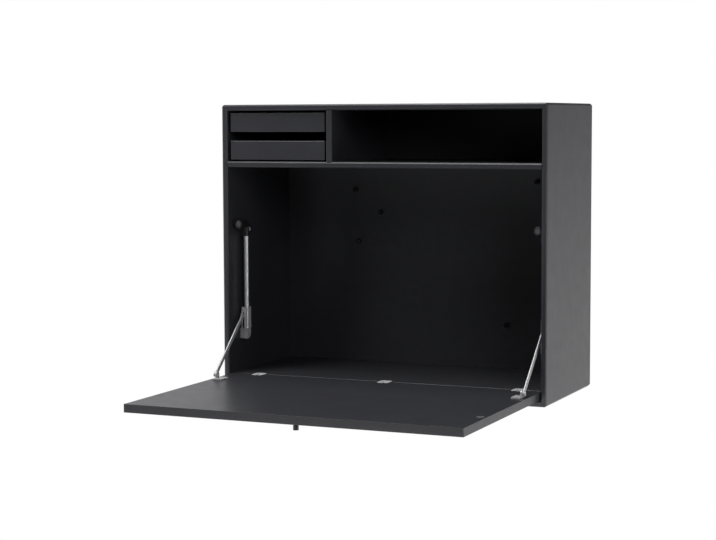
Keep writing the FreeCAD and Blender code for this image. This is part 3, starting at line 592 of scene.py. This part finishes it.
def hinge_half(body, node, way):
    """Halves of the three hinges on one side of the joint: a dark cup with a plate on it."""
    x = HINGE_MIDDLE.x
    cup = upright("cup", x, JOINT, CUP_FLOOR, FLAP_FACE - CUP_SINK, CUP_RADIUS)
    trimmed(cup, HINGE_MIDDLE, -Y * way)
    end = JOINT + PLATE_REACH * way
    top = FLAP_FACE + PLATE_PROUD
    low = Vector((x - PLATE_HALF, min(JOINT, end), FLAP_FACE - PLATE_DEPTH))
    high = Vector((x + PLATE_HALF, max(JOINT, end), top))
    plate = block("plate", low, high)
    bevelled(plate, PLATE_CORNER, PLATE_STEPS, lambda e: runs_along(e, Z) and lies_on(e, Y, end))
    bevelled(plate, PLATE_EDGE, 2, lambda e: folded(e) and lies_on(e, Z, top))
    for piece, spare in ((cup, CUP_SPARE), (plate, 0)):
        if body == "flap":
            room = tongue_room(spare)
        else:
            room = lying("room", HINGE_AXIS, SWEEP_HALF, SWEEP + spare)
        cut_out(piece, [room])
    finished(at_hinges(body + "_hinge_cups", cup), body, blackened, "hinge_metal", node, angle=30)
    finished(at_hinges(body + "_hinge_plates", plate), body, hinge_nickel, "hinge_metal", angle=30)


def hinge_tongues():
    """Tongues of the floor halves, each with the knuckle that turns on the flap's pin."""
    rear = SWEEP + TONGUE_LET_IN
    neck = block("tongue", HINGE_AXIS - Vector((TONGUE_HALF, 0, TONGUE_RISE)),
                 HINGE_AXIS + Vector((TONGUE_HALF, rear, TONGUE_RISE)))
    knuckle = lying("knuckle", HINGE_AXIS, TONGUE_HALF - KNUCKLE_SINK, KNUCKLE - KNUCKLE_GAP)
    for piece in (neck, knuckle):
        bevelled(piece, TONGUE_EDGE, 2, folded)
    tongues = at_hinges("hinge_tongues", joined([neck, knuckle], "tongue"))
    finished(tongues, "cabinet", hinge_nickel, "hinge_metal")


flap()
floor_board()
hinge_half("flap", "flap_hinge_halves", -1)
hinge_half("cabinet", "floor_hinge_halves", 1)
hinge_tongues()


# ---- screws, buttons, strikes and knob ----
# Turned pieces, in millimetres: rings are pairs of radius and height.
SHANK = 1.75
POINT, POINT_LENGTH = 0.3, 3.0
HEAD_RIM = (-0.25, -0.1)
SCREW_SIDES = 32
BUTTON_SIDES = 48
DISC_SIDES = 64
BUTTON_RINGS = ((5.0, 0), (5.25, 0.3), (5.25, 6.6), (5.1, 7.3), (4.7, 7.8), (4.1, 8.0))
STRIKE_RINGS = ((7.5, -1.3), (7.5, 0.1), (7.3, 0.3), (3.2, 0.3), (2.0, -0.5))
KNOB_RINGS = (
    (4.2, -16.5), (4.9, -16.4), (5.2, -16.0), (5.2, -9.9), (5.05, -8.2), (4.75, -5.6), (4.6, -4.1),
    (4.6, -0.4), (4.4, 0.0),
)

# Shares: the dome's rings of head radius and dome height; the recess of head radius and head depth;
# the magnet buttons of the steel sheet's width, from its middle, and of its height.
DOME = ((0.94, 0.15), (0.8, 0.5), (0.55, 0.84), (0.25, 1.0))
RECESS_LENGTH, RECESS_WIDTH, RECESS_DEPTH = 0.55, 0.13, 0.6
BUTTONS = ((-0.26, 0.871), (-0.173, 0.76), (-0.25, 0.611), (0.35, 0.92), (0.252, 0.216))
WING = 5 * MM               # thickness of the lower bracket's wing
WING_SCREW = 77 * MM        # its screw, behind the cabinet's front
FLANGE = 4 * MM             # thickness of the top mount's flange
FLANGE_SCREW = 90 * MM      # its screw, behind the cabinet's front
FLANGE_RISE = 12.5 * MM     # and above the mount's foot
FOOT_PLATE = 2.5 * MM       # foot bracket's plate and its lug are this thick
FOOT_SPREAD = 9 * MM        # screws before and behind the foot bracket's middle
RAIL_SPREAD = 200 * MM      # screws on either side of the middle one
STRIKE_SCREW_RISE = 0.15 * MM

# Screws, in millimetres: head radius, head depth, length and dome.
STAY_SCREW = (4.5, 2.6, 13, 0.8)
FOOT_SCREW = (3.6, 2, 11)
RAIL_SCREW = (3.6, 2, 7.5)
STRIKE_SCREW = (2.6, 1.2, 8)


def cross_screw(radius, depth, length, dome=0.0):
    """Countersunk wood screw below its head, flat or domed, with a cross recess; in millimetres."""
    rings = [(POINT, -length), (SHANK, POINT_LENGTH - length), (SHANK, -depth)]
    rings += [(radius, height) for height in HEAD_RIM]
    rings += [(radius * share, dome * rise) for share, rise in DOME]
    screw = turned("screw", rings, SCREW_SIDES)
    long, short = radius * RECESS_LENGTH * MM, radius * RECESS_WIDTH * MM
    foot, top = Z * depth * RECESS_DEPTH * MM, Z * OVERCUT
    arms = [Vector((long, short, 0)), Vector((short, long, 0))]
    cut_out(screw, [block("recess", -arm - foot, arm + top) for arm in arms])
    return screw


def stay_screws():
    """Screws of brackets and mounts in the side panels."""
    bracket_low, bracket_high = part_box("right_lower_bracket")
    wing_z = (bracket_low.z + bracket_high.z) / 2
    flange_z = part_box("right_top_mount")[0].z + FLANGE_RISE
    sets = []
    for way in (-1, 1):
        heads = [
            Vector(((INNER_SIDE - WING) * way, FRONT + WING_SCREW, wing_z)),
            Vector(((INNER_SIDE - FLANGE) * way, FRONT + FLANGE_SCREW, flange_z)),
        ]
        sets.append(set_out("screws", cross_screw(*STAY_SCREW), heads, -X * way))
    screws = joined(sets, "stay_screws_driven")
    # the stay screws' near-white nickel tone partly paints their highlight
    finished(screws, "cabinet", bright, "nickel_steel", "stay_screws", angle=35)


def foot_screws():
    """Screws of the foot brackets in the flap."""
    low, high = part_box("right_foot_bracket")
    across = (low.x + high.x - FOOT_PLATE) / 2
    middle = (low.y + high.y) / 2
    places = [(x, middle + y) for x in (-across, across) for y in (-FOOT_SPREAD, FOOT_SPREAD)]
    heads = [Vector((x, y, FLAP_FACE + FOOT_PLATE)) for x, y in places]
    screws = set_out("foot_screws_driven", cross_screw(*FOOT_SCREW), heads)
    finished(screws, "flap", nickel, "nickel_steel", "foot_screws", angle=35)


def rail_screws():
    """Screws of the hanging rail in the back panel."""
    heads = [X * x for x in (-RAIL_SPREAD, 0, RAIL_SPREAD)]
    screws = set_out("rail_screws_driven", cross_screw(*RAIL_SCREW), heads, Y)
    finished(screws, "cabinet", zinc, "zinc_steel", "rail_screws", angle=35)


def buttons():
    """Round magnets that hold on to the steel sheet: a black cap with a rounded rim."""
    low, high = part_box("magnetic_sheet")
    width, height = high.x - low.x, high.z - low.z
    places = [Vector((across * width, low.y, low.z + up * height)) for across, up in BUTTONS]
    caps = set_out("magnet_buttons_capped", turned("button", BUTTON_RINGS, BUTTON_SIDES), places, -Y)
    finished(caps, "cabinet", button_black, "black_button", "magnet_buttons", angle=60)


def strikes():
    """Steel discs that the catch magnets pull on, each held by a small screw."""
    discs = set_out("strikes", turned("disc", STRIKE_RINGS, DISC_SIDES), STRIKES)
    heads = [place + Z * STRIKE_SCREW_RISE for place in STRIKES]
    pins = set_out("strike_screws", cross_screw(*STRIKE_SCREW), heads)
    whole = joined([discs, pins], "catch_strikes_turned")
    finished(whole, "flap", dull_steel, "nickel_steel", "catch_strikes", angle=35)


def knob():
    """Turned knob under the open flap."""
    low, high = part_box("pull_knob")
    foot = Vector(((low.x + high.x) / 2, (low.y + high.y) / 2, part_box("flap_panel")[0].z))
    piece = set_out("pull_knob_turned", turned("knob", KNOB_RINGS, DISC_SIDES), [foot])
    finished(piece, "flap", dark_metal, "knob_metal", "pull_knob")


stay_screws()
foot_screws()
rail_screws()
buttons()
strikes()
knob()


# ---- stays and trays ----
GROOVE_OUTER_GAP = 0.35 * MM    # slider's front groove, wider than the arm on either side
GROOVE_INNER_GAP = 0.65 * MM
GROOVE_HEAD = 11 * MM           # solid upper part of the slider, above its groove
SHADE_PAD_FRONT = 48.6 * MM           # front and rear faces of the painted-shade pad, behind the cabinet's front
SHADE_PAD_REAR = 51.25 * MM
SHADE_PAD_PLAY = 0.02 * MM            # between the pad and the groove's walls
SHADE_PAD_END_PLAY = 0.2 * MM
SHADE_PAD_WALL = 0.25 * MM            # from the groove's walls, and from the pad's rear, to its hollow
SHADE_PAD_PAST = 10 * MM              # how far the pad's hollow runs out in front and at both ends


def groove_shade_pad(side, way):
    """Painted shade: a dark pad that darkens the slider's front groove, where shade falls; the upright arm
    lies there when the flap is shut.
    """
    arm_low, arm_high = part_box("right_stay_arm")
    slider_low, slider_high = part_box("right_slider")
    inner, outer = arm_low.x - GROOVE_INNER_GAP, arm_high.x + GROOVE_OUTER_GAP
    left, right = sorted((inner * way, outer * way))
    front, rear = FRONT + SHADE_PAD_FRONT, FRONT + SHADE_PAD_REAR
    foot, head = slider_low.z + SHADE_PAD_END_PLAY, slider_high.z - GROOVE_HEAD - SHADE_PAD_END_PLAY
    shade_pad = block(side + "groove_shade_pad", Vector((left + SHADE_PAD_PLAY, front, foot)),
                Vector((right - SHADE_PAD_PLAY, rear, head)))
    hollow = block("hollow", Vector((left + SHADE_PAD_WALL, front - SHADE_PAD_PAST, foot - SHADE_PAD_PAST)),
                   Vector((right - SHADE_PAD_WALL, rear - SHADE_PAD_WALL, head + SHADE_PAD_PAST)))
    cut_out(shade_pad, [hollow])
    finished(shade_pad, side + "slider", black, "black_plastic", angle=30)


def dress(node, body, width, material, slot, steps=2):
    """The CAD node's own form with its sharp edges rounded; the width is in millimetres."""
    piece = merged(node)
    bevelled(piece, width * MM, steps, lambda e: folded(e, SHARP))
    finished(piece, body, material, slot, node, angle=40)


for side, way in (("left_", -1), ("right_", 1)):
    # painted shade: a dark pad in each slider's groove, where the groove only lies in shade
    groove_shade_pad(side, way)
    dress(side + "slider", side + "slider", 0.45, pale_casting, "grey_casting")
    dress(side + "lower_bracket", "cabinet", 0.7, casting, "grey_casting", 3)
    dress(side + "top_mount", "cabinet", 0.5, black, "black_plastic")
    dress(side + "catch_magnet", "cabinet", 1.1, magnet, "magnet_face", 4)
    dress(side + "foot_bracket", "flap", 0.35, nickel, "nickel_steel")
    dress(side + "foot_pin", "flap", 0.25, nickel, "nickel_steel")
    dress(side + "stay_arm", side + "arm", 0.4, nickel, "nickel_steel")
    dress(side + "slider_rivet", side + "arm", 0.12, nickel, "nickel_steel", 1)

for tray in ("upper_tray", "lower_tray"):
    dress(tray + "_front", tray, 0.45, board, "lacquered_board")
    for part in ("_left_side", "_right_side", "_back"):
        dress(tray + part, tray, 0.3, board, "tray_board")


# ---- camera, light and floor ----
STAGE_MIDDLE = Vector((0, -0.3, -0.2))
AMBIENT = 0.02
MIRROR_HEIGHTS = (-0.1, 0.25)       # the mirrored backdrop fades upwards between these heights,
MIRROR_LEVELS = (0.94, 0.1)         # from the first level to the second,
MIRROR_LEAN = 0.3                   # sooner on the right,
MIRROR_DEPTHS = (-0.85, -0.3)       # and it is dark in front of these depths
FLOOR_LEVEL = -1.35
FLOOR_SIZE = 14
FLOOR_TONE = (0.8, 0.8, 0.8, 1)
SHADOW_REACH = (0.5, 1.6)           # plain white takes over from the desk's shadow between these
SHADOW_LEVELS = (0.5, 1.0)          # distances, by these shares
FLOOR_MIRROR = (-1.4, -0.4)         # the mirrored floor fades towards the front
FLOOR_MIRROR_LEVEL = 0.9

# Lamps: azimuth from the front towards the right, elevation, distance, width and height, power.
SQUARE = (1.2, 1.2)
LAMPS = (
    ("overhead softbox", 0, 88, 2.6, (1.8, 1.4), 44),
    ("key softbox", 315, 65, 2.6, SQUARE, 18),
    ("high left softbox", 315, 50, 3.0, SQUARE, 42),
    ("low front fill", 315, -10, 3.0, SQUARE, 4),
    ("left softbox", 270, -10, 3.0, SQUARE, 6),
    ("right softbox", 90, -10, 3.0, SQUARE, 25),
    ("front right fill", 45, 20, 3.0, SQUARE, 18),
    ("flap front fill", 350, -33, 1.75, (1.0, 0.3), 5.6),
    ("rear left fill", 225, 20, 3.0, SQUARE, 2.6),
    ("rear softbox", 180, 50, 3.0, SQUARE, 10),
)
CAMERA_PLACE = (1.35257, -3.49061, 0.00579)
CAMERA_TURN = (85.10696, 0.20263, 23.62974)     # degrees
CAMERA_LENS = 88.236                            # millimetres, as the film's width
CAMERA_FILM = 36


def softbox(name, azimuth, elevation, distance, size, power):
    """Area lamp that faces the desk."""
    lamp = bpy.data.lights.new(name, "AREA")
    lamp.shape = "RECTANGLE"
    lamp.size, lamp.size_y = size
    lamp.energy = power
    turn, rise = math.radians(azimuth), math.radians(elevation)
    away = Vector((math.sin(turn) * math.cos(rise), -math.cos(turn) * math.cos(rise), math.sin(rise)))
    stand = bpy.data.objects.new(name, lamp)
    stand.location = STAGE_MIDDLE + away * distance
    stand.rotation_euler = away.to_track_quat("Z", "Y").to_euler()
    bpy.context.scene.collection.objects.link(stand)
    stand.visible_camera = False


def maths(tree, operation, first, second):
    """Math node over two sources, each a socket or a number."""
    node = tree.nodes.new("ShaderNodeMath")
    node.operation = operation
    for place, source in enumerate((first, second)):
        if isinstance(source, (int, float)):
            node.inputs[place].default_value = source
        else:
            tree.links.new(source, node.inputs[place])
    return node.outputs["Value"]


def background(tree, strength):
    """White surroundings; strength is a number or a socket."""
    shade = tree.nodes.new("ShaderNodeBackground")
    shade.inputs["Color"].default_value = (1, 1, 1, 1)
    if isinstance(strength, (int, float)):
        shade.inputs["Strength"].default_value = strength
    else:
        tree.links.new(strength, shade.inputs["Strength"])
    return shade.outputs["Background"]


def mixed(tree, share, first, second):
    """The first shader where the share is 0, the second where it is 1."""
    mix = tree.nodes.new("ShaderNodeMixShader")
    for place, source in enumerate((share, first, second)):
        tree.links.new(source, mix.inputs[place])
    return mix.outputs["Shader"]


def parts_of(tree, output):
    """A vector of the coordinates' node, and the same one taken apart into X, Y and Z."""
    place = tree.nodes.new("ShaderNodeTexCoord")
    split = tree.nodes.new("ShaderNodeSeparateXYZ")
    tree.links.new(place.outputs[output], split.inputs["Vector"])
    return place.outputs[output], split.outputs


def studio():
    """White backdrop to the eye; mirrored, it fades upwards, to the right and to the front."""
    world = bpy.data.worlds.new("studio")
    bpy.context.scene.world = world
    world.use_nodes = True
    tree = world.node_tree
    tree.nodes.clear()
    path = tree.nodes.new("ShaderNodeLightPath").outputs
    parts = parts_of(tree, "Generated")[1]
    height = maths(tree, "ADD", parts["Z"], maths(tree, "MULTIPLY", parts["X"], MIRROR_LEAN))
    upwards = ramp(tree, height, *MIRROR_HEIGHTS, *MIRROR_LEVELS, smooth=True)
    backwards = ramp(tree, parts["Y"], *MIRROR_DEPTHS, 0.0, 1.0, smooth=True)
    mirrored = background(tree, maths(tree, "MULTIPLY", upwards, backwards))
    seen = maths(tree, "MAXIMUM", path["Is Glossy Ray"], path["Is Transmission Ray"])
    around = mixed(tree, seen, background(tree, AMBIENT), mirrored)
    whole = mixed(tree, path["Is Camera Ray"], around, background(tree, 1.0))
    output = tree.nodes.new("ShaderNodeOutputWorld")
    tree.links.new(whole, output.inputs["Surface"])


def floor():
    """Pale floor: the desk's shadow shows on it under the desk, and further out it is plain white."""
    bare()
    bpy.ops.mesh.primitive_plane_add(size=FLOOR_SIZE, location=(0, 0, FLOOR_LEVEL))
    piece = settled("floor")
    material = bpy.data.materials.new("pale floor")
    material.use_nodes = True
    tree = material.node_tree
    tree.nodes.clear()
    path = tree.nodes.new("ShaderNodeLightPath").outputs
    place, parts = parts_of(tree, "Object")
    reach = tree.nodes.new("ShaderNodeVectorMath")
    reach.operation = "DISTANCE"
    reach.inputs[1].default_value = (STAGE_MIDDLE.x, STAGE_MIDDLE.y, FLOOR_LEVEL)
    tree.links.new(place, reach.inputs[0])
    glow = tree.nodes.new("ShaderNodeEmission")
    glow.inputs["Strength"].default_value = 1.0
    matt = tree.nodes.new("ShaderNodeBsdfDiffuse")
    matt.inputs["Color"].default_value = FLOOR_TONE
    plain = ramp(tree, reach.outputs["Value"], *SHADOW_REACH, *SHADOW_LEVELS, smooth=True)
    plain = maths(tree, "MULTIPLY", plain, path["Is Camera Ray"])
    mirrored = ramp(tree, parts["Y"], *FLOOR_MIRROR, 0.0, FLOOR_MIRROR_LEVEL, smooth=True)
    mirrored = maths(tree, "MULTIPLY", mirrored, path["Is Glossy Ray"])
    share = maths(tree, "MAXIMUM", plain, mirrored)
    output = tree.nodes.new("ShaderNodeOutputMaterial")
    whole = mixed(tree, share, matt.outputs["BSDF"], glow.outputs["Emission"])
    tree.links.new(whole, output.inputs["Surface"])
    piece.data.materials.append(material)


def camera():
    """Camera in front of the desk and to its right."""
    lens = bpy.data.cameras.new("camera")
    lens.lens = CAMERA_LENS
    lens.sensor_width = CAMERA_FILM
    stand = bpy.data.objects.new("camera", lens)
    stand.location = CAMERA_PLACE
    stand.rotation_euler = [math.radians(a) for a in CAMERA_TURN]
    bpy.context.scene.collection.objects.link(stand)
    bpy.context.scene.camera = stand


for lamp in LAMPS:
    softbox(*lamp)
studio()
floor()
camera()
bpy.context.scene.view_settings.view_transform = "Standard"
